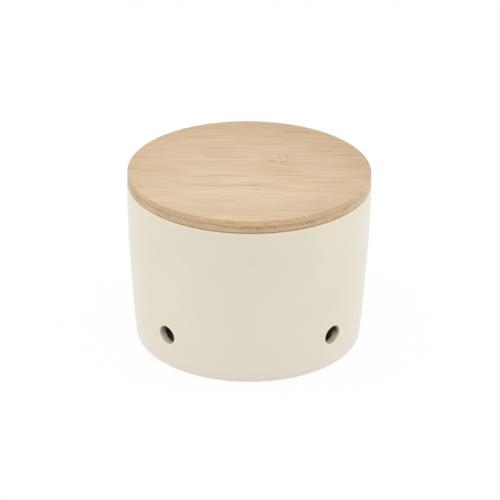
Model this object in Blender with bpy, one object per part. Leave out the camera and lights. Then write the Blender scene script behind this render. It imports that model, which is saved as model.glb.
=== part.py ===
"""Garlic keeper: a stoneware pot with four vent holes, closed by a laminated bamboo lid.

The pot is one turned piece. The lid is glued up from three layers of bamboo strips: a face whose
grain runs across the lid, a core whose grain crosses it, and a narrower plug that drops into the
mouth of the pot. A silicone ring sits in a groove round the plug and seats the lid.

Metres, +Z up. The origin is the middle of the foot, and the vents lie on the X and Y axes.
"""

import math

import bmesh
import bpy
from mathutils import Matrix, Vector

# Pot
POT_RADIUS = 0.065  # outside, at the rim
POT_HEIGHT = 0.0895
POT_WALL = 0.0045
SIDE_DRAW = 0.0045  # how far the side draws in between rim and foot
SIDE_BEND = 1.7  # power of the side's curve, where 1 is a straight taper
FLOOR_THICKNESS = 0.0055
FLOOR_CORNER = 0.008  # rounding between floor and inner wall
FOOT_EDGE = 0.0037  # rounding between side and foot
FOOT_WIDTH = 0.0045
FOOT_HEIGHT = 0.0015
RIM_OUTER_EDGE = 0.0012
RIM_INNER_EDGE = 0.0015

# Vents
VENT_COUNT = 4
VENT_RADIUS = 0.00525
VENT_HEIGHT = 0.0203  # middle of the hole above the table

# Lid board: a face ply and a core ply
LID_OVERHANG = -0.0003  # the board is this much wider than the pot, so it stops just short
FACE_THICKNESS = 0.00335
CORE_THICKNESS = 0.00335
FACE_STRIPS = 7
CORE_STRIPS = 5
FACE_EDGE = 0.0005  # sanded rounding of the lid's top edge
CORE_EDGE = 0.0004
LID_TURN = math.radians(41.5)  # the way the face's grain runs, from +X

# Plug under the lid
PLUG_HEIGHT = 0.008
PLUG_CLEARANCE = 0.0018  # round the plug, to the inner wall
PLUG_EDGE = 0.0008
PLUG_STRIPS = 5
GROOVE_DEPTH = 0.0024
GROOVE_HEIGHT = 0.0042

# Silicone ring
SEAL_LIP = 0.0006  # thickness of a lip
SEAL_LIP_RISE = 0.0005  # how far a lip tips up towards the wall
SEAL_LIP_INSET = 0.0003  # from the band's edge to the lip next to it
SEAL_SET_BACK = 0.0003  # of the band behind the plug's side

# Fits
GLUE_LINE = 0.0003  # between strips, and between layers
SEAT_GAP = 0.0003  # between the lid and the rim it rests on
SEAL_GAP = 0.0003  # between the ring, its groove and the wall
CUT_OVERRUN = 0.004  # how far a cutter reaches past what it cuts
MERGE_DISTANCE = 0.000001

# Facets
ROUND_STEPS = 72
VENT_STEPS = 24
SIDE_STEPS = 8
CORNER_STEPS = 4
SMOOTH_ANGLE = math.radians(32)

# Finishes: colour, roughness
STONEWARE = ((0.760, 0.700, 0.565, 1.0), 0.45)
BAMBOO_FACE = ((0.730, 0.565, 0.352, 1.0), 0.55)
BAMBOO_CORE = ((0.600, 0.440, 0.262, 1.0), 0.60)
SILICONE = ((0.800, 0.800, 0.770, 1.0), 0.40)

# Sizes that follow from those above
MOUTH_RADIUS = POT_RADIUS - POT_WALL
LID_RADIUS = POT_RADIUS + LID_OVERHANG
PLUG_RADIUS = MOUTH_RADIUS - PLUG_CLEARANCE
FLOOR_TOP = FOOT_HEIGHT + FLOOR_THICKNESS
LID_SEAT = POT_HEIGHT + SEAT_GAP


def outer_radius(height):
    """Outside radius of the pot at a height above the table."""
    below_rim = 1 - height / POT_HEIGHT
    return POT_RADIUS - SIDE_DRAW * below_rim**SIDE_BEND


def inner_radius(height):
    return outer_radius(height) - POT_WALL


def arc(centre, radius, start_degrees, end_degrees, steps=CORNER_STEPS):
    """Points along an arc in a profile, as (radius, height) pairs."""
    points = []
    for step in range(steps + 1):
        turn = math.radians(start_degrees + (end_degrees - start_degrees) * step / steps)
        points.append((centre[0] + radius * math.cos(turn), centre[1] + radius * math.sin(turn)))
    return points


def side(radius_at, low, high, steps=SIDE_STEPS):
    """Points up a curved side, without its two ends."""
    heights = [low + (high - low) * step / steps for step in range(1, steps)]
    return [(radius_at(height), height) for height in heights]


def pot_profile():
    """The pot's section from the middle of its floor, over the rim, to the middle of its underside."""
    corner_height = FLOOR_TOP + FLOOR_CORNER
    corner = (inner_radius(corner_height) - FLOOR_CORNER, corner_height)
    rim_inner = (MOUTH_RADIUS + RIM_INNER_EDGE, POT_HEIGHT - RIM_INNER_EDGE)
    rim_outer = (POT_RADIUS - RIM_OUTER_EDGE, POT_HEIGHT - RIM_OUTER_EDGE)
    foot = (outer_radius(FOOT_EDGE) - FOOT_EDGE, FOOT_EDGE)
    foot_inside = foot[0] - FOOT_WIDTH
    return (
        [(0, FLOOR_TOP)]
        + arc(corner, FLOOR_CORNER, -90, 0)
        + side(inner_radius, corner_height, rim_inner[1])
        + arc(rim_inner, RIM_INNER_EDGE, 180, 90)
        + arc(rim_outer, RIM_OUTER_EDGE, 90, 0)
        + side(outer_radius, rim_outer[1], FOOT_EDGE)
        + arc(foot, FOOT_EDGE, 0, -90)
        + [(foot_inside, 0), (foot_inside - FOOT_HEIGHT, FOOT_HEIGHT), (0, FOOT_HEIGHT)]
    )


def face_profile():
    """The face ply's section, from its underside up and over its sanded top edge."""
    low = GLUE_LINE + CORE_THICKNESS
    high = low + FACE_THICKNESS
    edge = (LID_RADIUS - FACE_EDGE, high - FACE_EDGE)
    return [(0, high)] + arc(edge, FACE_EDGE, 90, 0) + [(LID_RADIUS, low), (0, low)]


def core_profile():
    edge = (LID_RADIUS - CORE_EDGE, CORE_EDGE)
    return [(0, CORE_THICKNESS), (LID_RADIUS, CORE_THICKNESS)] + arc(edge, CORE_EDGE, 0, -90) + [(0, 0)]


def groove_bottom():
    """Height of the groove's lower wall, measured from the lid's seat."""
    return -GLUE_LINE - (PLUG_HEIGHT + GROOVE_HEIGHT) / 2


def plug_profile():
    """The plug's section: a disc with a square groove round it and a rounded lower edge."""
    high = -GLUE_LINE
    low = high - PLUG_HEIGHT
    groove_floor = PLUG_RADIUS - GROOVE_DEPTH
    groove_low = groove_bottom()
    groove_high = groove_low + GROOVE_HEIGHT
    edge = (PLUG_RADIUS - PLUG_EDGE, low + PLUG_EDGE)
    return (
        [(0, high), (PLUG_RADIUS, high), (PLUG_RADIUS, groove_high)]
        + [(groove_floor, groove_high), (groove_floor, groove_low), (PLUG_RADIUS, groove_low)]
        + arc(edge, PLUG_EDGE, 0, -90)
        + [(0, low)]
    )


def seal_profile():
    """The ring's section: a band in the groove, and two lips that reach for the wall."""
    band_inside = PLUG_RADIUS - GROOVE_DEPTH + SEAL_GAP
    band_outside = PLUG_RADIUS - SEAL_SET_BACK
    lip_end = MOUTH_RADIUS - SEAL_GAP
    band_low = groove_bottom() + SEAL_GAP
    band_high = groove_bottom() + GROOVE_HEIGHT - SEAL_GAP
    section = [(band_inside, band_low), (band_inside, band_high), (band_outside, band_high)]
    for lip_low in (band_high - SEAL_LIP_INSET - SEAL_LIP, band_low + SEAL_LIP_INSET):
        lip_high = lip_low + SEAL_LIP
        section += [
            (band_outside, lip_high),
            (lip_end, lip_high + SEAL_LIP_RISE),
            (lip_end, lip_low + SEAL_LIP_RISE),
            (band_outside, lip_low),
        ]
    return section + [(band_outside, band_low)]


def clear_scene():
    for obj in list(bpy.data.objects):
        bpy.data.objects.remove(obj)


def finish_of(name, finish):
    """A plain material of one colour and roughness."""
    colour, roughness = finish
    material = bpy.data.materials.new(name)
    material.use_nodes = True
    shader = material.node_tree.nodes["Principled BSDF"]
    shader.inputs["Base Color"].default_value = colour
    shader.inputs["Roughness"].default_value = roughness
    material.diffuse_color = colour
    return material


def mesh_from(name, work):
    mesh = bpy.data.meshes.new(name)
    bmesh.ops.recalc_face_normals(work, faces=work.faces)
    work.to_mesh(mesh)
    work.free()
    return mesh


def turned(profile, closed=False):
    """A solid turned round +Z from its section. A closed section makes a ring."""
    work = bmesh.new()
    corners = [work.verts.new((radius, 0, height)) for radius, height in profile]
    edges = [work.edges.new(pair) for pair in zip(corners, corners[1:])]
    if closed:
        edges.append(work.edges.new((corners[-1], corners[0])))
    bmesh.ops.spin(
        work,
        geom=corners + edges,
        cent=(0, 0, 0),
        axis=(0, 0, 1),
        angle=math.tau,
        steps=ROUND_STEPS,
        use_merge=True,
    )
    bmesh.ops.remove_doubles(work, verts=work.verts, dist=MERGE_DISTANCE)
    return work


def placed(name, mesh, parent=None, material=None):
    obj = bpy.data.objects.new(name, mesh)
    bpy.context.scene.collection.objects.link(obj)
    obj.parent = parent
    if material:
        mesh.materials.append(material)
    return obj


def shade(obj):
    obj.data.shade_smooth()
    obj.data.set_sharp_from_angle(angle=SMOOTH_ANGLE)


def vent_cutter():
    """Short round bars, one across the wall at each vent, turned so that no corner is level."""
    work = bmesh.new()
    inside = inner_radius(VENT_HEIGHT) - CUT_OVERRUN
    outside = outer_radius(VENT_HEIGHT) + CUT_OVERRUN
    lying = Matrix.Rotation(math.pi / 2, 4, "Y") @ Matrix.Rotation(math.pi / VENT_STEPS, 4, "Z")
    for vent in range(VENT_COUNT):
        turn = Matrix.Rotation(math.tau * vent / VENT_COUNT, 4, "Z")
        place = Matrix.Translation(Vector(((inside + outside) / 2, 0, VENT_HEIGHT)))
        bmesh.ops.create_cone(
            work,
            cap_ends=True,
            segments=VENT_STEPS,
            radius1=VENT_RADIUS,
            radius2=VENT_RADIUS,
            depth=outside - inside,
            matrix=turn @ place @ lying,
        )
    bars = placed("vent_bars", mesh_from("vent_bars", work))
    bars.hide_render = True
    bars.display_type = "WIRE"
    return bars


def saw(work, line, across, keep):
    """Saws through a solid at a line across it, and keeps the far side (keep 1) or the near (-1)."""
    cut_away = bmesh.ops.bisect_plane(
        work,
        geom=work.verts[:] + work.edges[:] + work.faces[:],
        plane_co=across * line,
        plane_no=across * -keep,
        clear_outer=True,
    )
    sawn_edges = [part for part in cut_away["geom_cut"] if isinstance(part, bmesh.types.BMEdge)]
    bmesh.ops.edgeloop_fill(work, edges=sawn_edges)


def strips(name, profile, count, parent, material, across):
    """A turned layer in strips of equal width across it, with a glue line between neighbours."""
    reach = max(radius for radius, height in profile)
    width = 2 * reach / count
    for index in range(count):
        work = turned(profile)
        low = -reach + width * index
        if index > 0:
            saw(work, low + GLUE_LINE / 2, across, 1)
        if index < count - 1:
            saw(work, low + width - GLUE_LINE / 2, across, -1)
        node = f"{name}_strip_{index + 1}"
        shade(placed(node, mesh_from(node, work), parent, material))


def build_pot():
    mesh = mesh_from("pot", turned(pot_profile()))
    pot = placed("pot", mesh, material=finish_of("stoneware", STONEWARE))
    shade(pot)
    vents = pot.modifiers.new("vents", "BOOLEAN")
    vents.operation = "DIFFERENCE"
    vents.object = vent_cutter()
    vents.solver = "EXACT"


def lid_axis():
    """The lid lifts along, and turns about, the pot's own axis. Its frame follows the face's grain."""
    axis = bpy.data.objects.new("lid_axis", None)
    bpy.context.scene.collection.objects.link(axis)
    axis.location = (0, 0, LID_SEAT)
    axis.rotation_euler = (0, 0, LID_TURN)
    return axis


def build_lid(axis):
    face = finish_of("bamboo_face", BAMBOO_FACE)
    core = finish_of("bamboo_core", BAMBOO_CORE)
    along = Vector((1, 0, 0))
    across = Vector((0, 1, 0))
    strips("face", face_profile(), FACE_STRIPS, axis, face, across)
    strips("core", core_profile(), CORE_STRIPS, axis, core, along)
    strips("plug", plug_profile(), PLUG_STRIPS, axis, face, across)


def build_seal(axis):
    mesh = mesh_from("seal_ring", turned(seal_profile(), closed=True))
    ring = placed("seal_ring", mesh, axis, finish_of("silicone", SILICONE))
    shade(ring)


def main():
    clear_scene()
    build_pot()
    axis = lid_axis()
    build_lid(axis)
    build_seal(axis)


main()
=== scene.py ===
"""Looks of the garlic keeper: a cream stoneware pot, a lid of bamboo boards and a silicone ring.

The pot's wall, rim and vents are one fine mesh, made as a quarter and repeated round the axis. Each
board of the lid is sawn into strips from a turned disc. Metres, +Z up, in the part's own frame.
"""

import math
from typing import NamedTuple

import bmesh
import bpy
from mathutils import Matrix, Vector


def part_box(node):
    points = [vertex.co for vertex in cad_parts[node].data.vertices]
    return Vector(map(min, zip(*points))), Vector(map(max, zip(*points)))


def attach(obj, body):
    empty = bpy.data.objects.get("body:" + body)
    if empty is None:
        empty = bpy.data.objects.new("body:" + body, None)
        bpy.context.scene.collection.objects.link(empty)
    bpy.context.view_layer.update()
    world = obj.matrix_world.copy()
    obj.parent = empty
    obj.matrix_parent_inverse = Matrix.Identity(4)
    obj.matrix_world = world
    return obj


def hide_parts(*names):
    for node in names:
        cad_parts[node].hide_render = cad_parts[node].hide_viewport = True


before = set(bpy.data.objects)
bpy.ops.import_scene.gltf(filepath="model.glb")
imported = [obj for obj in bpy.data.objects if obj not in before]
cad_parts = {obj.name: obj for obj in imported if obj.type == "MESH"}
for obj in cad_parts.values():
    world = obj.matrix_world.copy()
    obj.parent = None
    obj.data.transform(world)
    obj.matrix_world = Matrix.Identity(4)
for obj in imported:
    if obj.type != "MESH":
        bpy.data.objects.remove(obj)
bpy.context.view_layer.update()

bl_info = {
    "name": "Garlic keeper",
    "version": (1, 0, 0),
    "blender": (4, 5, 0),
    "location": "3D View > Sidebar > Garlic keeper",
    "description": "A stoneware pot with vents, its bamboo lid and silicone ring, in a pale studio",
    "category": "Object",
}

MILLIMETRE = 0.001


def paint(red, green, blue):
    """Linear colour of an sRGB colour given in 0 to 255."""
    shares = [level / 255 for level in (red, green, blue)]
    return tuple(((share + 0.055) / 1.055) ** 2.4 if share > 0.04045 else share / 12.92 for share in shares)


def reach(node):
    """How far a node goes from the axis."""
    return max(math.hypot(vertex.co.x, vertex.co.y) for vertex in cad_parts[node].data.vertices)


def length(name, description, default):
    """A length that the user can change."""
    return bpy.props.FloatProperty(
        name=name,
        description=description,
        default=default,
        min=0,
        precision=5,
        subtype="DISTANCE",
        unit="LENGTH",
    )


def turn_of(name, description, degrees):
    """An angle that the user can change."""
    return bpy.props.FloatProperty(
        name=name, description=description, default=math.radians(degrees), subtype="ANGLE", unit="ROTATION"
    )


def colour(name, description, default):
    """A colour that the user can change."""
    return bpy.props.FloatVectorProperty(
        name=name, description=description, default=default, size=3, min=0, max=1, subtype="COLOR"
    )


def share(name, description, default):
    """A share from 0 to 1 that the user can change."""
    return bpy.props.FloatProperty(
        name=name, description=description, default=default, min=0, max=1, subtype="FACTOR"
    )


def whole(name, description, default):
    """A count that the user can change."""
    return bpy.props.IntProperty(name=name, description=description, default=default, min=1)


class KEEPER_PG_pot(bpy.types.PropertyGroup):
    """Sizes and colours of the stoneware pot."""

    radius: length("Radius", "Outside radius at the rim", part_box("pot")[1].x)
    height: length("Height", "Height of the rim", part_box("pot")[1].z)
    wall: length("Wall", "Thickness of the wall", 4.5 * MILLIMETRE)
    draw: length("Draw", "How far the side draws in from rim to foot", 4.5 * MILLIMETRE)
    bend: bpy.props.FloatProperty(name="Bend", description="Power of the side's curve", default=1.7)
    floor_top: length("Floor", "Height of the floor inside", 7 * MILLIMETRE)
    floor_corner: length("Floor corner", "Rounding between floor and wall", 8 * MILLIMETRE)
    foot_edge: length("Foot edge", "Rounding between side and foot", 3.7 * MILLIMETRE)
    foot_width: length("Foot width", "Width of the ring it stands on", 4.5 * MILLIMETRE)
    foot_height: length("Foot height", "Height of that ring", 1.5 * MILLIMETRE)
    rim_outer: length("Rim outside", "Rounding of the rim, outside", 1.2 * MILLIMETRE)
    rim_inner: length("Rim inside", "Rounding of the rim, inside", 1.5 * MILLIMETRE)
    vents: whole("Vents", "Vent holes round the pot", 4)
    vent_radius: length("Vent radius", "Radius of a vent hole", 5.25 * MILLIMETRE)
    vent_height: length("Vent height", "Height of a vent's middle", 20.3 * MILLIMETRE)
    vent_edge: length("Vent edge", "Rounding of a vent's edge under the glaze", 0.5 * MILLIMETRE)
    glaze: colour("Glaze", "Colour of the glaze", paint(226, 217, 197))
    thin_glaze: colour("Thin glaze", "Colour of the glaze where it runs thin", paint(229, 221, 202))
    # Rim glaze: the glaze breaking over the rim, painted lighter as a highlight on the rounded edge.
    rim_glaze_and_highlight: colour("Rim glaze", "Colour of the glaze over the rim", paint(235, 222, 198))
    # Foot glaze: painted light, the side made lighter low down as light bounced up from the floor.
    low_side_painted_light: colour("Foot glaze", "Colour of the glaze low on the side", paint(229, 222, 205))
    # Vent glaze is the bore's warm glaze painted lighter, as light falling in low in a vent; vent shade is
    # painted shade high up and deep in a vent.
    vent_glaze_painted_light: colour("Vent glaze", "Colour of the glaze low in a vent", paint(255, 246, 216))
    vent_painted_shade: colour("Vent shade", "Colour of the glaze high up and deep in a vent", paint(102, 86, 56))
    clay: colour("Clay", "Colour of the bare clay under the foot", paint(214, 196, 168))


class KEEPER_PG_lid(bpy.types.PropertyGroup):
    """Sizes and colours of the bamboo boards."""

    turn: turn_of("Grain", "The way the face's grain runs", 41.5)
    radius: length("Radius", "Radius of the lid", reach("face_strip_1"))
    plug_radius: length("Plug radius", "Radius of the plug", reach("plug_strip_1"))
    face_strips: whole("Face strips", "Strips in the face board", 7)
    core_strips: whole("Core strips", "Strips in the core board", 5)
    plug_strips: whole("Plug strips", "Strips in the plug", 5)
    joint: length("Joint", "Width of a glued joint", 0.03 * MILLIMETRE)
    face_edge: length("Face edge", "Rounding of the lid's top edge", 0.8 * MILLIMETRE)
    core_edge: length("Core edge", "Rounding of the lid's lower edge", 0.4 * MILLIMETRE)
    plug_edge: length("Plug edge", "Rounding of the plug's lower edge", 0.8 * MILLIMETRE)
    groove_depth: length("Groove depth", "Depth of the groove for the ring", 2.4 * MILLIMETRE)
    groove_height: length("Groove height", "Height of that groove", 4.2 * MILLIMETRE)
    # Shift: painted shade, darkening the boards towards their back right as the light falls off.
    shift: share("Shift", "How much darker the last strip is", 0.17)
    pale: colour("Pale", "Colour of the bamboo between its fibres", paint(239, 221, 189))
    tan: colour("Tan", "Colour of the bamboo's fibre bundles", paint(194, 164, 129))
    knuckle: colour("Knuckle", "Colour of the dark flecks in a knuckle", paint(172, 138, 102))
    blush: colour("Blush", "Colour of the patches laid over the bamboo", paint(255, 251, 245))
    edge_pale: colour("Edge pale", "Colour of the lid's sawn edge between its fibres", paint(211, 182, 140))
    edge_brown: colour("Edge brown", "Colour of the fibre bundles in that edge", paint(156, 114, 60))


class KEEPER_PG_seal(bpy.types.PropertyGroup):
    """Sizes and colour of the silicone ring."""

    reach: length("Reach", "Radius of the lips' ends", reach("seal_ring"))
    gap: length("Gap", "Room between the ring and its groove", 0.3 * MILLIMETRE)
    lip: length("Lip", "Thickness of a lip", 0.6 * MILLIMETRE)
    lip_rise: length("Lip rise", "How far a lip tips up", 0.5 * MILLIMETRE)
    lip_inset: length("Lip inset", "From the band's edge to a lip", 0.3 * MILLIMETRE)
    milky: colour("Silicone", "Colour of the silicone", paint(226, 226, 220))


class KEEPER_PG_stage(bpy.types.PropertyGroup):
    """The camera, the lamps and the floor."""

    azimuth: turn_of("Azimuth", "Camera's angle round the pot, from -Y", 43.8)
    elevation: turn_of("Elevation", "Camera's angle above the table", 25.95)
    roll: turn_of("Roll", "How far the picture is turned", 0.515)
    distance: length("Distance", "From the camera to the pot's axis", 1.43)
    aim_height: length("Aim height", "Height that the camera looks at", 48.9 * MILLIMETRE)
    aside: length("Aside", "How far the camera stands to the right", 0.71 * MILLIMETRE)
    lens: bpy.props.FloatProperty(name="Lens", description="Focal length", default=191.3, unit="CAMERA")
    floor: colour("Floor", "Colour of the floor", (1, 1, 1))


class Socket:
    """A node's output. Arithmetic on it adds Math nodes to its tree."""

    def __init__(self, graph, socket):
        self.graph = graph
        self.socket = socket

    def out(self, name):
        """Another output of the same node."""
        return Socket(self.graph, self.socket.node.outputs[name])

    def __add__(self, other):
        return self.graph.math("ADD", self, other)

    def __sub__(self, other):
        return self.graph.math("SUBTRACT", self, other)

    def __rsub__(self, other):
        return self.graph.math("SUBTRACT", other, self)

    def __mul__(self, other):
        return self.graph.math("MULTIPLY", self, other)

    def __truediv__(self, other):
        return self.graph.math("DIVIDE", self, other)

    __radd__ = __add__
    __rmul__ = __mul__


class Graph:
    """A node tree. Every node comes from node(), and Math nodes also from arithmetic on sockets."""

    def __init__(self, tree):
        self.tree = tree

    def node(self, kind, settings=None, inputs=None, output=0):
        """Adds a node: its settings first, then the values or links of its sockets."""
        made = self.tree.nodes.new(kind)
        for name, value in (settings or {}).items():
            setattr(made, name, value)
        for key, value in (inputs or {}).items():
            self.feed(made.inputs[key], value)
        return Socket(self, made.outputs[output]) if made.outputs else made

    def feed(self, socket, value):
        """Links a socket, or sets its value."""
        if isinstance(value, Socket):
            self.tree.links.new(value.socket, socket)
        else:
            socket.default_value = value

    def math(self, operation, *values):
        return self.node("ShaderNodeMath", {"operation": operation}, dict(enumerate(values)))

    def span(self, one, other):
        """Length of a straight line, from how far it goes in two square directions."""
        return self.math("SQRT", one * one + other * other)

    def ease(self, value, low, high):
        """0 below low, 1 above high, and smooth between."""
        return self.node(
            "ShaderNodeMapRange",
            {"interpolation_type": "SMOOTHSTEP"},
            {"Value": value, "From Min": low, "From Max": high},
        )

    def mix(self, factor, under, over, mode="MIX"):
        """One colour laid over another."""
        settings = {"data_type": "RGBA", "blend_type": mode}
        return self.node("ShaderNodeMix", settings, {0: factor, 6: tint(under), 7: tint(over)}, 2)

    def noise(self, place, scale, detail=2, roughness=0.5):
        inputs = {"Vector": place, "Scale": scale, "Detail": detail, "Roughness": roughness}
        return self.node("ShaderNodeTexNoise", {}, inputs)

    def random(self, number):
        """A value from 0 to 1 that follows from a number, with no pattern."""
        return self.node("ShaderNodeTexWhiteNoise", {"noise_dimensions": "1D"}, {"W": number})

    def bump(self, height, distance, strength):
        inputs = {"Height": height, "Distance": distance, "Strength": strength}
        return self.node("ShaderNodeBump", {}, inputs)


def tint(value):
    """A colour as a socket takes it: a link stays as it is, and three numbers get an alpha of 1."""
    return value if isinstance(value, Socket) else (*value, 1)


class Finish(Graph):
    """A material, whose Principled shader takes what surface() is given."""

    def __init__(self, name):
        self.material = bpy.data.materials.new(name)
        self.material.use_nodes = True
        super().__init__(self.material.node_tree)
        self.place = self.node("ShaderNodeTexCoord", output="Object")

    def laid(self, turn):
        """The place along X after a turn about +Z is undone. Its out() gives Y and Z."""
        back = self.node("ShaderNodeMapping", {}, {"Vector": self.place, "Rotation": (0, 0, -turn)})
        return self.node("ShaderNodeSeparateXYZ", {}, {0: back}, "X")

    def surface(self, sockets):
        shader = self.tree.nodes["Principled BSDF"]
        for name, value in sockets.items():
            self.feed(shader.inputs[name], value)
        return self.material


# Patterns of glaze and silicone, as features in a metre.
CLOUDS = 34
WASHES = 11
PORES = 2600
RIPPLES = 420
MILKY_CLOUDS = 90
PAINTED_LIGHT_BELOW = 18 * MILLIMETRE  # the side is painted lighter from this height down to the foot, as light bounced up from the floor


class Glaze(Finish):
    """The pot's material, which knows where the vent next to a place is, and how much shade to paint in its
    bore.
    """

    def __init__(self, pot, outside):
        super().__init__("cream_glaze")
        across = self.node("ShaderNodeSeparateXYZ", {}, {0: self.place}, "X")
        self.height = across.out("Z")
        around = self.math("ARCTAN2", across.out("Y"), across) * (pot.vents / math.tau)
        angle = (around - self.math("ROUND", around)) * (math.tau / pot.vents)
        radius = self.span(across, across.out("Y"))
        aside = radius * self.math("SINE", angle)
        above = self.height - pot.vent_height
        away = self.span(aside, above) - pot.vent_radius
        self.in_vent = 1 - self.ease(away, 0, pot.vent_edge)
        # Painted shade in a vent's bore: it grows high up and deep in the wall, and is stronger in vents
        # towards +Y.
        deep = 1 - self.ease(radius, outside - pot.wall, outside)
        high = self.ease(above, -0.7 * pot.vent_radius, 0.2 * pot.vent_radius)
        to_back = across.out("Y") / radius
        self.vent_painted_shade = high * (0.35 + deep * 0.65) * (1.4 + to_back * 0.5)


def glaze_finish(pot, outside):
    """Satin cream glaze with faint clouding and fine pores, warm with a painted highlight on the rim, warm
    with painted light low and painted shade high in the vents, painted lighter low on the side, and a bare
    clay foot.
    """
    finish = Glaze(pot, outside)
    place = finish.place
    height = finish.height
    cloud = finish.noise(place, CLOUDS, 3)
    wash = finish.noise(place, WASHES, 1)
    # The top of the rim takes its breaking glaze and a painted highlight.
    rim = finish.ease(height, pot.height - 1.1 * MILLIMETRE, pot.height - 0.6 * MILLIMETRE)
    pores = finish.noise(place, PORES, 2, 0.6)
    ripple = finish.noise(place, RIPPLES, 1)
    body = finish.mix(finish.ease(cloud * 0.5 + wash * 0.5, 0.35, 0.65), pot.glaze, pot.thin_glaze)
    body = finish.mix(rim, body, pot.rim_glaze_and_highlight)
    # Painted light: the side grows lighter down towards the foot.
    body = finish.mix(1 - finish.ease(height, MILLIMETRE, PAINTED_LIGHT_BELOW), body, pot.low_side_painted_light)
    # In a vent: painted light low in the bore, and painted shade high up and deep in it.
    body = finish.mix(finish.in_vent, body, finish.mix(finish.vent_painted_shade, pot.vent_glaze_painted_light, pot.vent_painted_shade))
    bare = 1 - finish.ease(height, 0.1 * MILLIMETRE, 0.5 * MILLIMETRE)
    grit = finish.mix(finish.ease(pores, 0.42, 0.62), pot.clay, [level * 0.86 for level in pot.clay])
    relief = ripple * 0.7 + pores * 0.12
    return finish.surface(
        {
            "Base Color": finish.mix(bare, body, grit),
            "Roughness": 0.4 + cloud * 0.08 + bare * 0.4,
            "Normal": finish.bump(relief, 0.05 * MILLIMETRE, 0.35),
            "IOR": 1.5,
            "Coat Weight": 1 - bare,
            "Coat Roughness": 0.42,
            "Sheen Weight": 0.12,
            "Sheen Roughness": 0.4,
        }
    )


KNUCKLE_LENGTH = 7 * MILLIMETRE
KNUCKLE_WIDTH = 8 * MILLIMETRE
# Flecks in a knuckle, in millimetres from its middle: along, across, half length, half width, and
# darkness, which is below 0 for a light fleck.
KNUCKLE_FLECKS = (
    (-4, 2.4, 1.9, 0.9, -0.55),
    (-1.2, 4.8, 0.9, 0.7, -0.3),
    (-1.4, 3.1, 0.8, 1, 0.7),
    (-0.9, -0.2, 0.7, 1, 0.6),
    (1.9, 2.4, 1.3, 1.3, 0.7),
    (0.8, 0.2, 1.1, 0.8, -0.5),
    (-1.9, -4.2, 0.45, 3.2, -0.5),
    (-1, -5.8, 0.5, 1.9, 0.8),
    (2, -4.8, 3, 0.9, 0.6),
    (2.3, -8.2, 3.4, 0.9, 0.4),
    (-5, -3.8, 3.6, 2.2, 0.3),
)
BUNDLE_PITCH = 1.65 * MILLIMETRE
BLURRED = 0.3  # how dark end grain is on average, where its bundles don't stand out


class Board(NamedTuple):
    """A board of bamboo strips. Its end grain is darkest under the height called skin."""

    name: str
    turn: float
    radius: float
    strips: int
    seed: int
    # base: height of the board's lower face; a painted shadow line is drawn just above it
    base: float
    seam: float
    skin: float
    end_grain: float
    knuckles: tuple = ()  # each as (along, across, size, strength), its size below 0 for half a turn


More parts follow.
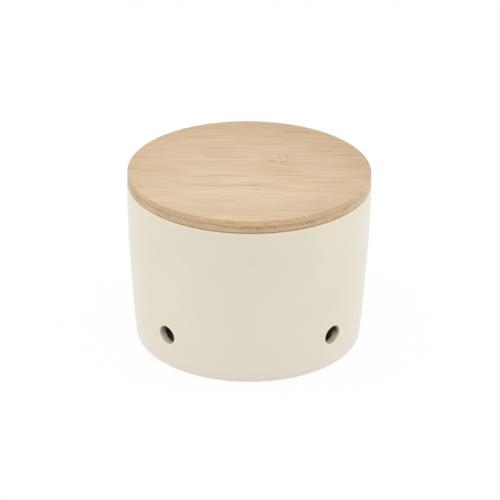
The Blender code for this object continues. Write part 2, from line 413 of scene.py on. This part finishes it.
class Grain(Finish):
    """The pattern of one board, in lengths along its grain, across it and up."""

    def __init__(self, board):
        super().__init__("bamboo_" + board.name)
        self.board = board
        self.along = self.laid(board.turn)
        self.across = self.along.out("Y")
        self.up = self.along.out("Z")
        self.out = self.span(self.along, self.across)
        strip = self.math("FLOOR", self.across * (board.strips / (2 * board.radius)) + board.strips / 2)
        self.chance = self.random(strip + board.seed)
        self.bent = self.across
        if board.knuckles:
            bend = self.noise(self.place, 1 / (3 * MILLIMETRE), 1) - 0.5
            self.bent = self.across + bend * self.near_knuckles() * (2.2 * MILLIMETRE)

    def near_knuckles(self):
        """How strongly a place lies in a knuckle."""
        zones = []
        for along, across, _size, strength in self.board.knuckles:
            beside = (self.along - along) * (1 / KNUCKLE_LENGTH)
            above = (self.across - across) * (1 / KNUCKLE_WIDTH)
            zones.append((1 - self.ease(self.span(beside, above), 0.3, 1)) * strength)
        return sum(zones)

    def fibres(self, stretch, width, detail=2):
        """Noise drawn out along the grain: features this wide, and longer by 1 / stretch."""
        shifted = (self.along + self.chance * 0.7) * stretch
        drawn = self.node("ShaderNodeCombineXYZ", {}, {0: shifted, 1: self.bent, 2: self.up})
        return self.noise(drawn, 1 / width, detail)

    def rows(self, width, stretch, seed):
        """Streaks in rows of fibre this wide. Each row starts anywhere, so they run straight side by side."""
        spread = self.noise(self.node("ShaderNodeCombineXYZ", {}, {1: self.bent}), 0.3 / width, 1)
        row = self.math("FLOOR", self.bent / width + spread * 2)
        start = self.random(row + self.chance * 50 + seed)
        drawn = self.node("ShaderNodeCombineXYZ", {}, {0: self.along * stretch / width + start * 90})
        return self.noise(drawn, 1, 2)

    def band(self, value, low, high, soft):
        """1 between low and high, with soft ends."""
        return self.ease(value, low - soft, low) - self.ease(value, high, high + soft)

    def knuckle_marks(self):
        """Dark and light flecks in each knuckle, frayed, and its thin ridge across the strip."""
        fray = self.noise(self.place, 1 / (1.1 * MILLIMETRE), 2)
        long_fray = self.along + (fray - 0.5) * (2 * MILLIMETRE)
        wide_fray = self.bent + (self.noise(self.place, 1 / (1.7 * MILLIMETRE), 2) - 0.5) * (2 * MILLIMETRE)
        marks = []
        for along, across, size, strength in self.board.knuckles:
            unit = size * MILLIMETRE
            for aside, above, long, wide, dark in KNUCKLE_FLECKS:
                beside = (long_fray - (along + aside * unit)) * (1 / (long * unit))
                over = (wide_fray - (across + above * unit)) * (1 / (wide * unit))
                marks.append((1 - self.ease(self.span(beside, over), 0.2, 1.2)) * (dark * strength))
        return sum(marks)

    def bundles(self):
        """Dark bundles of fibre in the end grain, close together under the skin of each strip."""
        below = self.board.skin - self.up
        drift = self.noise(self.node("ShaderNodeCombineXYZ", {}, {0: self.across}), 1 / (7 * MILLIMETRE), 1)
        phase = (self.across + below * 0.8) * (math.tau / BUNDLE_PITCH) + drift * 14
        marks = self.ease(self.math("SINE", phase), 0, 0.9)
        crisp = self.ease(self.chance, 0.72, 0.95)
        marks = BLURRED + (marks - BLURRED) * crisp
        patches = self.ease(self.noise(self.place, 1 / (5 * MILLIMETRE), 2), 0.25, 0.55)
        sawn_across = self.ease(self.math("ABSOLUTE", self.along) / self.out, 0.72, 0.9)
        near_skin = self.band(below, 0, 0.9 * MILLIMETRE, 1.1 * MILLIMETRE)
        skin_up = 0.25 + self.ease(self.chance, 0.2, 0.6) * 0.75
        return marks * patches * sawn_across * near_skin * skin_up * self.board.end_grain


STREAK_WIDTH = 0.9 * MILLIMETRE
DASH_WIDTH = 0.7 * MILLIMETRE
HAIR_WIDTH = 0.45 * MILLIMETRE


def bamboo_finish(lid, board):
    """Laid bamboo: short streaks along each strip, a sawn and sanded edge that is darker, and knuckles;
    painted shade darkens the top towards its back right and its edge, and the side near the ends of the
    face's grain, and a painted shadow line runs along the core's lower edge.
    """
    grain = Grain(board)
    bands = grain.fibres(0.1, 9 * MILLIMETRE, 1) - 0.5
    streaks = grain.rows(STREAK_WIDTH, 0.03, 5) - 0.5
    hairs = grain.rows(HAIR_WIDTH, 0.014, 17) - 0.5
    dashes = grain.ease(grain.rows(DASH_WIDTH, 0.012, 29), 0.56, 0.66)
    tone = 0.5 + bands * 0.26 + streaks * 0.6 + hairs * 1.1 + dashes * 0.4 + grain.chance * 0.06
    # Painted shade: the board darkens towards its back right.
    tone = tone + (grain.across + grain.along * 0.4) * (lid.shift / board.radius)
    # Painted shade: the board's top darkens towards its edge.
    tone = tone + grain.ease(grain.out, 0.5 * board.radius, board.radius) * 0.17
    face = grain.mix(tone, lid.pale, lid.tan)
    if board.knuckles:
        marks = grain.knuckle_marks() * (1.1 + hairs * 2.5)
        face = grain.mix(marks, face, lid.knuckle)
        face = grain.mix(0 - marks, face, lid.pale)
    face = grain.mix(grain.fibres(0.4, 14 * MILLIMETRE, 1), face, lid.blush, "MULTIPLY")
    below = board.seam - grain.up
    layers = grain.fibres(0.07, 0.9 * MILLIMETRE, 2) - 0.5
    line = 1 - grain.ease(grain.math("ABSOLUTE", below), 0, 0.7 * MILLIMETRE)
    line = line * grain.ease(grain.fibres(0.5, 8 * MILLIMETRE), 0.25, 0.6)
    # Painted shadow: the lowest half millimetre of the board's edge darkens, as the shade in the gap over the
    # pot's rim.
    foot = 1 - grain.ease(grain.up, board.base, board.base + 0.5 * MILLIMETRE)
    # Painted shade: the side darkens near the two ends of the face's grain, most at the -X -Y end, within
    # about 4 mm of the seam.
    sideways = grain.laid(lid.turn) / grain.out
    ends = grain.ease(0 - sideways, 0.7, 0.95) + grain.ease(sideways, 0.85, 1) * 0.4
    near_seam = 1 - grain.ease(grain.math("ABSOLUTE", below), MILLIMETRE, 3.8 * MILLIMETRE)
    sawn = 0.3 + layers * 0.9 + bands * 0.5 + line * 0.35 + foot * 0.8 + ends * near_seam * 0.22
    sawn = sawn + grain.bundles()
    side = grain.mix(grain.ease(sawn, 0, 1), lid.edge_pale, lid.edge_brown)
    turned_off = grain.ease(grain.out, board.radius - 0.3 * MILLIMETRE, board.radius - 0.1 * MILLIMETRE)
    relief = streaks * 0.5 + hairs * 0.5
    return grain.surface(
        {
            "Base Color": grain.mix(turned_off, face, side),
            "Roughness": 0.52 + streaks * 0.2 + turned_off * 0.1,
            "Normal": grain.bump(relief, 0.06 * MILLIMETRE, 0.4),
            "IOR": 1.45,
            "Coat Weight": turned_off,
            "Coat Roughness": 0.35,
        }
    )


def silicone_finish(seal):
    """Milky silicone, a little cloudy."""
    finish = Finish("milky_silicone")
    cloud = finish.noise(finish.place, MILKY_CLOUDS, 2)
    return finish.surface(
        {
            "Base Color": finish.mix(cloud * 0.3, seal.milky, [level * 0.9 for level in seal.milky]),
            "Roughness": 0.34 + cloud * 0.1,
            "Normal": finish.bump(cloud, 0.05 * MILLIMETRE, 0.3),
            "Subsurface Weight": 0.3,
            "Subsurface Radius": (2 * MILLIMETRE,) * 3,
            "Subsurface Scale": 1,
        }
    )


ROUND_STEPS = 240
EDGE_STEPS = 6
SUPPORT = 0.35 * MILLIMETRE  # a loop this far from a rounded edge keeps the flat beside it flat
SMOOTH_ANGLE = math.radians(35)
MERGE_DISTANCE = 0.002 * MILLIMETRE


def arc(centre, radius, start_degrees, end_degrees):
    """Points along an arc in a section, as (radius, height) pairs."""
    points = []
    for step in range(EDGE_STEPS + 1):
        angle = math.radians(start_degrees + (end_degrees - start_degrees) * step / EDGE_STEPS)
        points.append((centre[0] + radius * math.cos(angle), centre[1] + radius * math.sin(angle)))
    return points


def object_of(name, work):
    """An object at the origin, from a bmesh whose faces are made to point outwards."""
    mesh = bpy.data.meshes.new(name)
    bmesh.ops.recalc_face_normals(work, faces=work.faces)
    work.to_mesh(mesh)
    work.free()
    made = bpy.data.objects.new(name, mesh)
    bpy.context.scene.collection.objects.link(made)
    return made


def turned(profile, closed=False):
    """A solid turned round +Z. An open profile starts and ends at a flat face, a closed one is a ring."""
    work = bmesh.new()
    rings = []
    for radius, height in profile:
        ring = []
        for step in range(ROUND_STEPS):
            angle = math.tau * step / ROUND_STEPS
            ring.append(work.verts.new((radius * math.cos(angle), radius * math.sin(angle), height)))
        rings.append(ring)
    pairs = list(zip(rings, rings[1:]))
    if closed:
        pairs.append((rings[-1], rings[0]))
    else:
        work.faces.new(rings[0])
        work.faces.new(rings[-1])
    for ring, following in pairs:
        for step in range(ROUND_STEPS):
            beside = (step + 1) % ROUND_STEPS
            work.faces.new((ring[step], following[step], following[beside], ring[beside]))
    return work


def bake(made):
    """Turns an object's modifiers into its plain mesh."""
    bpy.context.view_layer.update()
    whole_shape = made.evaluated_get(bpy.context.evaluated_depsgraph_get())
    made.modifiers.clear()
    made.data = bpy.data.meshes.new_from_object(whole_shape)
    made.data.name = made.name


def shade_smooth(made):
    made.data.shade_smooth()
    made.data.set_sharp_from_angle(angle=SMOOTH_ANGLE)


class Shape(Graph):
    """A Geometry Nodes tree with named inputs, whose result is realized and takes one material."""

    def __init__(self, name, inputs):
        super().__init__(bpy.data.node_groups.new(name, "GeometryNodeTree"))
        sockets = self.tree.interface
        sockets.new_socket(name="Geometry", in_out="INPUT", socket_type="NodeSocketGeometry")
        sockets.new_socket(name="Geometry", in_out="OUTPUT", socket_type="NodeSocketGeometry")
        for label, kind in (*inputs.items(), ("Material", "Material")):
            sockets.new_socket(name=label, in_out="INPUT", socket_type=f"NodeSocket{kind}")
        self.given = self.node("NodeGroupInput")

    def finish(self, shape):
        realized = self.node("GeometryNodeRealizeInstances", {}, {0: shape})
        inputs = {"Geometry": realized, "Material": self.given.out("Material")}
        dressed = self.node("GeometryNodeSetMaterial", {}, inputs)
        self.node("NodeGroupOutput", {}, {0: dressed})

    def apply(self, made, values):
        """Runs the tree on an object with these values, and keeps the result as its plain mesh."""
        modifier = made.modifiers.new(self.tree.name, "NODES")
        modifier.node_group = self.tree
        for item in self.tree.interface.items_tree:
            if item.in_out == "INPUT" and item.name in values:
                modifier[item.identifier] = values[item.name]
        bake(made)
        shade_smooth(made)


def repeated_round():
    """A tree that repeats a wedge round +Z and merges the wedges into one body."""
    shape = Shape("wedges_round_axis", {"Wedges": "Int", "Merge Distance": "Float"})
    wedges = shape.given.out("Wedges")
    points = shape.node("GeometryNodeMeshLine", {}, {"Count": wedges, "Offset": (0, 0, 0)})
    index = shape.node("GeometryNodeInputIndex")
    spin = shape.node("ShaderNodeCombineXYZ", {}, {"Z": index * math.tau / wedges})
    inputs = {"Points": points, "Instance": shape.given.out("Geometry"), "Rotation": spin}
    copies = shape.node("GeometryNodeInstanceOnPoints", {}, inputs)
    copies = shape.node("GeometryNodeRealizeInstances", {}, {0: copies})
    inputs = {"Geometry": copies, "Distance": shape.given.out("Merge Distance")}
    shape.finish(shape.node("GeometryNodeMergeByDistance", {}, inputs))
    return shape


def sawn_strips():
    """A tree that saws a turned board into strips, with a thin joint between neighbours."""
    sizes = {"Strips": "Int", "Board Width": "Float", "Joint": "Float", "Turn": "Float"}
    shape = Shape("strips_of_board", sizes)
    count = shape.given.out("Strips")
    board = shape.given.out("Board Width")
    pitch = board / count
    start = shape.node("ShaderNodeCombineXYZ", {}, {"Y": (pitch - board) * 0.5})
    step = shape.node("ShaderNodeCombineXYZ", {}, {"Y": pitch})
    line = shape.node("GeometryNodeMeshLine", {}, {"Count": count, "Start Location": start, "Offset": step})
    past_board = board * 3
    inputs = {"X": past_board, "Y": pitch - shape.given.out("Joint"), "Z": past_board}
    slab = shape.node("GeometryNodeMeshCube", {}, {"Size": shape.node("ShaderNodeCombineXYZ", {}, inputs)})
    slabs = shape.node("GeometryNodeInstanceOnPoints", {}, {"Points": line, "Instance": slab})
    turn = shape.node("ShaderNodeCombineXYZ", {}, {"Z": shape.given.out("Turn")})
    laid = shape.node("GeometryNodeTransform", {}, {"Geometry": slabs, "Rotation": turn})
    laid = shape.node("GeometryNodeRealizeInstances", {}, {0: laid})
    meet = shape.node("GeometryNodeMeshBoolean", {"operation": "INTERSECT", "solver": "EXACT"})
    boolean = meet.socket.node
    shape.feed(boolean.inputs["Mesh 2"], shape.given.out("Geometry"))
    shape.feed(boolean.inputs["Mesh 2"], laid)
    shape.finish(meet)
    return shape


WEDGE_STEPS = 60  # columns in the pot's wedge
WINDOW_STEPS = 12  # columns and rows of the square round a vent
WINDOW_COLUMN = (WEDGE_STEPS - WINDOW_STEPS) // 2  # the first column of that square
WINDOW_CORNER = -3 / 8  # the way to its lower right corner, in turns from level
VENT_RINGS = (0.3, 0.55, 0.75, 0.9, 1.0)  # shares of the way from that square to the vent's edge
WALL_STEPS = 18  # rows above the square
LOW_WALL_STEPS = 5  # rows below it
FLOOR_STEPS = 4


class PotShape:
    """The pot's surfaces, and the wedge of its mesh that holds one vent."""

    def __init__(self, pot):
        self.pot = pot
        self.corner_height = pot.floor_top + pot.floor_corner
        self.corner_radius = self.outer(self.corner_height) - pot.wall - pot.floor_corner
        self.window = pot.radius * math.sin(math.tau / pot.vents / WEDGE_STEPS * WINDOW_STEPS / 2)
        self.work = bmesh.new()
        self.rows = []

    def outer(self, height):
        """Outside radius at a height."""
        return self.pot.radius - self.pot.draw * (1 - height / self.pot.height) ** self.pot.bend

    def inner(self, height):
        """Inside radius at a height, the rounded corner above the floor included."""
        below = self.corner_height - height
        if below <= 0:
            return self.outer(height) - self.pot.wall
        return self.corner_radius + math.sqrt(self.pot.floor_corner**2 - below**2)

    def window_heights(self):
        low = self.pot.vent_height - self.window
        return [low + 2 * self.window * row / WINDOW_STEPS for row in range(WINDOW_STEPS + 1)]

    def profile(self):
        """The section from the floor's middle, over the rim and the foot, to the underside's middle."""
        pot = self.pot
        heights = self.window_heights()
        fall = math.degrees(math.asin((self.corner_height - heights[0]) / pot.floor_corner))
        corner = arc((self.corner_radius, self.corner_height), pot.floor_corner, -90, -fall)[:-1]
        rim_low = pot.height - max(pot.rim_inner, pot.rim_outer)
        rise = rim_low - heights[-1]
        upper = [heights[-1] + rise * step / WALL_STEPS for step in range(1, WALL_STEPS + 1)]
        inner_rim = (pot.radius - pot.wall + pot.rim_inner, pot.height - pot.rim_inner)
        outer_rim = (pot.radius - pot.rim_outer, pot.height - pot.rim_outer)
        foot = (self.outer(pot.foot_edge) - pot.foot_edge, pot.foot_edge)
        ring_inside = foot[0] - pot.foot_width
        recess = ring_inside - pot.foot_height
        rise = heights[0] - pot.foot_edge
        lower = [pot.foot_edge + rise * step / LOW_WALL_STEPS for step in range(1, LOW_WALL_STEPS)][::-1]
        floor = [(self.corner_radius * step / FLOOR_STEPS, pot.floor_top) for step in range(1, FLOOR_STEPS)]
        inside = [(self.inner(height), height) for height in heights + upper]
        outside = [(self.outer(height), height) for height in (heights + upper)[::-1]]
        self.inner_first = 1 + len(floor) + len(corner)
        section = [(0, pot.floor_top)] + floor + corner + inside
        section += arc(inner_rim, pot.rim_inner, 180, 90) + arc(outer_rim, pot.rim_outer, 90, 0)
        self.outer_first = len(section) + len(upper)
        section += outside + [(self.outer(height), height) for height in lower]
        section += arc(foot, pot.foot_edge, 0, -90)
        section += [(ring_inside, 0), (recess, pot.foot_height), (recess / 2, pot.foot_height)]
        return section + [(0, pot.foot_height)]

    def in_window(self, row, column):
        """Whether the face above and beside this corner lies in the square round the vent."""
        across = WINDOW_COLUMN <= column < WINDOW_COLUMN + WINDOW_STEPS
        starts = (self.inner_first, self.outer_first)
        return across and any(start <= row < start + WINDOW_STEPS for start in starts)

    def square(self, first_row, upwards):
        """The corners round a window, counted from its lower right corner the same way on both walls."""
        rows = [first_row + step for step in range(WINDOW_STEPS + 1)]
        rows = rows if upwards else rows[::-1]
        columns = [WINDOW_COLUMN + step for step in range(WINDOW_STEPS + 1)]
        corners = [(rows[0], column) for column in columns[:-1]]
        corners += [(row, columns[-1]) for row in rows[:-1]]
        corners += [(rows[-1], column) for column in columns[:0:-1]]
        corners += [(row, columns[0]) for row in rows[:0:-1]]
        return [self.rows[row][column] for row, column in corners]

    def vent_rings(self, square, radius_at, inwards):
        """Rings from a window's square to the vent's edge, and over its rounding into the bore."""
        pot = self.pot
        count = len(square)
        rings = [square]
        mouth = pot.vent_radius + pot.vent_edge
        spots = [(share_in, mouth, 0) for share_in in VENT_RINGS]
        for across, down in arc((mouth, 0), pot.vent_edge, 90, 180)[1:]:
            spots.append((1, across, pot.vent_edge - down))
        for share_in, radius, depth in spots:
            ring = []
            for index, corner in enumerate(square):
                angle = math.tau * (index / count + WINDOW_CORNER)
                level = corner.co.z - pot.vent_height
                aside = (1 - share_in) * corner.co.y + share_in * radius * math.cos(angle)
                above = (1 - share_in) * level + share_in * radius * math.sin(angle)
                height = pot.vent_height + above
                out = math.sqrt(radius_at(height) ** 2 - aside**2) + inwards * depth
                ring.append(self.work.verts.new((out, aside, height)))
            rings.append(ring)
        return rings

    def join(self, ring, following):
        for index in range(len(ring)):
            beside = (index + 1) % len(ring)
            self.work.faces.new((ring[index], following[index], following[beside], ring[beside]))

    def wedge(self):
        """The mesh of one wedge, with its vent in the middle, on +X."""
        section = self.profile()
        for radius, height in section:
            if radius == 0:
                self.rows.append([self.work.verts.new((0, 0, height))] * (WEDGE_STEPS + 1))
                continue
            row = []
            for column in range(WEDGE_STEPS + 1):
                angle = math.tau / self.pot.vents * (column / WEDGE_STEPS - 0.5)
                row.append(self.work.verts.new((radius * math.cos(angle), radius * math.sin(angle), height)))
            self.rows.append(row)
        for row in range(len(section) - 1):
            for column in range(WEDGE_STEPS):
                if not self.in_window(row, column):
                    near, far = self.rows[row], self.rows[row + 1]
                    corners = [near[column], far[column], far[column + 1], near[column + 1]]
                    self.work.faces.new(dict.fromkeys(corners))
        outside = self.vent_rings(self.square(self.outer_first, False), self.outer, -1)
        inside = self.vent_rings(self.square(self.inner_first, True), self.inner, 1)
        for rings in (outside, inside):
            for ring, following in zip(rings, rings[1:]):
                self.join(ring, following)
        self.join(outside[-1], inside[-1])
        loose = [vertex for vertex in self.work.verts if not vertex.link_faces]
        bmesh.ops.delete(self.work, geom=loose, context="VERTS")
        return self.work


class KEEPER_OT_pot(bpy.types.Operator):
    """Makes the glazed pot with its vents"""

    bl_idname = "keeper.pot"
    bl_label = "Pot"

    def execute(self, context):
        pot = context.scene.keeper_pot
        shape = PotShape(pot)
        made = object_of("glazed_pot", shape.wedge())
        glaze = glaze_finish(pot, shape.outer(pot.vent_height))
        values = {"Wedges": pot.vents, "Merge Distance": MERGE_DISTANCE, "Material": glaze}
        repeated_round().apply(made, values)
        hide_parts("pot")
        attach(made, "pot")
        return {"FINISHED"}


def board_profile(radius, low, high, low_edge, high_edge):
    """A board's section, from the middle of its underside, round its edge, to its upper face."""
    lower, upper = [(radius, low)], [(radius, high)]
    if low_edge:
        lower = arc((radius - low_edge, low + low_edge), low_edge, -90, 0)
    if high_edge:
        upper = arc((radius - high_edge, high - high_edge), high_edge, 0, 90)
    inset = radius - max(low_edge, high_edge) - SUPPORT
    return [(inset, low)] + lower + upper + [(inset, high)]


def plug_profile(lid, low, high, under):
    """The plug's section, from under the core board, past its groove, to its lower face."""
    middle = (low + high) / 2
    groove_floor = lid.plug_radius - lid.groove_depth
    section = [(lid.plug_radius - SUPPORT, under), (lid.plug_radius, under)]
    for side in (1, -1):
        level = middle + side * lid.groove_height / 2
        section += [(lid.plug_radius, level), (groove_floor, level)][::side]
    edge = (lid.plug_radius - lid.plug_edge, low + lid.plug_edge)
    return section + arc(edge, lid.plug_edge, 0, -90) + [(edge[0] - SUPPORT, low)]


def levels(node):
    """A node's lowest and highest height."""
    low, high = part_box(node)
    return low.z, high.z


FACE_KNUCKLES = (
    (16.9 * MILLIMETRE, 15 * MILLIMETRE, 1, 1),
    (4 * MILLIMETRE, -24 * MILLIMETRE, -0.8, 0.3),
)
PLUG_KNUCKLES = ((-20 * MILLIMETRE, -3 * MILLIMETRE, -1.2, 0.8),)


def strip_nodes(board, count):
    return [f"{board}_strip_{number + 1}" for number in range(count)]


class KEEPER_OT_boards(bpy.types.Operator):
    """Makes the face and core boards of the lid, and the plug under them"""

    bl_idname = "keeper.boards"
    bl_label = "Bamboo boards"

    def make(self, lid, board, profile, slot):
        made = object_of(board.name + "_board", turned(profile))
        values = {
            "Strips": board.strips,
            "Board Width": 2 * board.radius,
            "Joint": lid.joint,
            "Turn": board.turn,
            "Material": bamboo_finish(lid, board),
        }
        sawn_strips().apply(made, values)
        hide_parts(*strip_nodes(board.name, board.strips))
        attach(made, "lid")

    def execute(self, context):
        lid = context.scene.keeper_lid
        crossed = lid.turn + math.pi / 2
        half_joint = lid.joint / 2
        face_low, face_high = levels("face_strip_1")
        core_low, core_high = levels("core_strip_1")
        plug_low, plug_high = levels("plug_strip_1")
        seam = (face_low + core_high) / 2
        under = (core_low + plug_high) / 2
        face = Board(
            name="face",
            turn=lid.turn,
            radius=lid.radius,
            strips=lid.face_strips,
            seed=3,
            base=0,
            seam=seam,
            skin=face_high,
            end_grain=0.2,
            knuckles=FACE_KNUCKLES,
        )
        section = board_profile(lid.radius, seam + half_joint, face_high, 0, lid.face_edge)
        self.make(lid, face, section, "bamboo_face")
        core = Board(
            name="core",
            turn=crossed,
            radius=lid.radius,
            strips=lid.core_strips,
            seed=76,
            base=core_low,
            seam=seam,
            skin=seam,
            end_grain=0.75,
        )
        section = board_profile(lid.radius, core_low, seam - half_joint, lid.core_edge, 0)
        self.make(lid, core, section, "bamboo_core")
        plug = Board(
            name="plug",
            turn=lid.turn,
            radius=lid.plug_radius,
            strips=lid.plug_strips,
            seed=57,
            base=0,
            seam=under,
            skin=under,
            end_grain=0.4,
            knuckles=PLUG_KNUCKLES,
        )
        self.make(lid, plug, plug_profile(lid, plug_low, plug_high, under), "bamboo_face")
        return {"FINISHED"}


class KEEPER_OT_seal(bpy.types.Operator):
    """Makes the silicone ring in the plug's groove"""

    bl_idname = "keeper.seal"
    bl_label = "Silicone ring"

    def execute(self, context):
        seal = context.scene.keeper_seal
        lid = context.scene.keeper_lid
        low, high = levels("seal_ring")
        inside = lid.plug_radius - lid.groove_depth + seal.gap
        outside = lid.plug_radius - seal.gap
        section = [(inside, low), (inside, high), (outside, high)]
        for lip_low in (high - seal.lip_inset - seal.lip, low + seal.lip_inset):
            tip = (seal.reach - seal.lip / 2, lip_low + seal.lip_rise + seal.lip / 2)
            section += [(outside, lip_low + seal.lip)]
            section += arc(tip, seal.lip / 2, 90, -90)
            section += [(outside, lip_low)]
        section.append((outside, low))
        made = object_of("silicone_ring", turned(section, closed=True))
        made.data.materials.append(silicone_finish(seal))
        shade_smooth(made)
        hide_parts("seal_ring")
        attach(made, "seal")
        return {"FINISHED"}


FLOOR_HALF_SIZE = 4
FLOOR_DROP = 0.05 * MILLIMETRE
FLOOR_WHITE = 0.92  # how much of the floor shows plain white, where the rest takes the shadow
STUDIO_LIGHT = 0.8  # strength of the world's light, where the camera sees 1
LAMPS = (  # name, place, size across, power
    ("overhead", (0.15, -0.25, 1.5), 1.3, 3.8),
    ("left_fill", (-1.3, -1.1, 0.7), 1.1, 3.6),
    ("right_fill", (1.2, 1.2, 0.7), 1.1, 3.7),
)
LAMPS_AIM = Vector((0, 0, 0.05))


class KEEPER_OT_stage(bpy.types.Operator):
    """Sets up the floor, the lamps and the camera"""

    bl_idname = "keeper.stage"
    bl_label = "Stage"

    def execute(self, context):
        stage = context.scene.keeper_stage
        self.floor(stage)
        self.world(context)
        for lamp in LAMPS:
            self.lamp(*lamp)
        self.camera(context, stage)
        context.scene.view_settings.view_transform = "Standard"
        return {"FINISHED"}

    def seen(self, graph):
        """1 where the ray comes from the camera, a mirror or glass."""
        path = graph.node("ShaderNodeLightPath", output="Is Camera Ray")
        bounced = graph.math("MAXIMUM", path.out("Is Glossy Ray"), path.out("Is Transmission Ray"))
        return graph.math("MAXIMUM", path, bounced)

    def floor(self, stage):
        work = bmesh.new()
        bmesh.ops.create_grid(work, x_segments=1, y_segments=1, size=FLOOR_HALF_SIZE)
        bmesh.ops.translate(work, vec=(0, 0, -FLOOR_DROP), verts=work.verts)
        made = object_of("floor", work)
        finish = Finish("pale_floor")
        output = finish.tree.nodes["Material Output"]
        matte = finish.node("ShaderNodeBsdfDiffuse", {}, {"Color": (*stage.floor, 1)})
        white = finish.node("ShaderNodeEmission", {}, {"Color": (1, 1, 1, 1), "Strength": 1})
        share_white = self.seen(finish) * FLOOR_WHITE
        shader = finish.node("ShaderNodeMixShader", {}, {0: share_white, 1: matte, 2: white})
        finish.feed(output.inputs["Surface"], shader)
        made.data.materials.append(finish.material)

    def world(self, context):
        world = bpy.data.worlds.new("studio")
        world.use_nodes = True
        context.scene.world = world
        graph = Graph(world.node_tree)
        background = world.node_tree.nodes["Background"]
        strength = STUDIO_LIGHT + self.seen(graph) * (1 - STUDIO_LIGHT)
        graph.feed(background.inputs["Strength"], strength)
        background.inputs["Color"].default_value = (1, 1, 1, 1)

    def lamp(self, name, place, size, power):
        data = bpy.data.lights.new(name, "AREA")
        data.shape = "DISK"
        data.size = size
        data.energy = power
        made = bpy.data.objects.new(name, data)
        bpy.context.scene.collection.objects.link(made)
        made.location = place
        towards = LAMPS_AIM - made.location
        made.rotation_euler = towards.to_track_quat("-Z", "Y").to_euler()

    def camera(self, context, stage):
        data = bpy.data.cameras.new("camera")
        data.lens = stage.lens
        made = bpy.data.objects.new("camera", data)
        context.scene.collection.objects.link(made)
        away = Vector((math.sin(stage.azimuth), -math.cos(stage.azimuth), 0)) * math.cos(stage.elevation)
        away.z = math.sin(stage.elevation)
        level = Vector((math.cos(stage.azimuth), math.sin(stage.azimuth), 0))
        up = away.cross(level)
        right = level * math.cos(stage.roll) + up * math.sin(stage.roll)
        up = away.cross(right)
        place = Vector((0, 0, stage.aim_height)) + away * stage.distance + right * stage.aside
        made.matrix_world = Matrix.Translation(place) @ Matrix((right, up, away)).transposed().to_4x4()
        context.scene.camera = made


class KEEPER_PT_panel(bpy.types.Panel):
    """Buttons that build the keeper, and its sizes"""

    bl_idname = "KEEPER_PT_panel"
    bl_label = "Garlic keeper"
    bl_space_type = "VIEW_3D"
    bl_region_type = "UI"
    bl_category = "Garlic keeper"

    def draw(self, context):
        for operator in OPERATORS:
            self.layout.operator(operator.bl_idname)
        for name in GROUPS:
            group = getattr(context.scene, name)
            column = self.layout.column(heading=group.bl_rna.description)
            for setting in group.bl_rna.properties:
                if setting.identifier not in ("rna_type", "name"):
                    column.prop(group, setting.identifier)


OPERATORS = (KEEPER_OT_pot, KEEPER_OT_boards, KEEPER_OT_seal, KEEPER_OT_stage)
GROUPS = {
    "keeper_pot": KEEPER_PG_pot,
    "keeper_lid": KEEPER_PG_lid,
    "keeper_seal": KEEPER_PG_seal,
    "keeper_stage": KEEPER_PG_stage,
}


def register():
    for item in (*GROUPS.values(), *OPERATORS, KEEPER_PT_panel):
        bpy.utils.register_class(item)
    for name, group in GROUPS.items():
        setattr(bpy.types.Scene, name, bpy.props.PointerProperty(type=group))


def unregister():
    for name in GROUPS:
        delattr(bpy.types.Scene, name)
    for item in reversed((*GROUPS.values(), *OPERATORS, KEEPER_PT_panel)):
        bpy.utils.unregister_class(item)


def main():
    register()
    bpy.ops.keeper.pot()
    bpy.ops.keeper.boards()
    bpy.ops.keeper.seal()
    bpy.ops.keeper.stage()


if __name__ == "__main__":
    main()
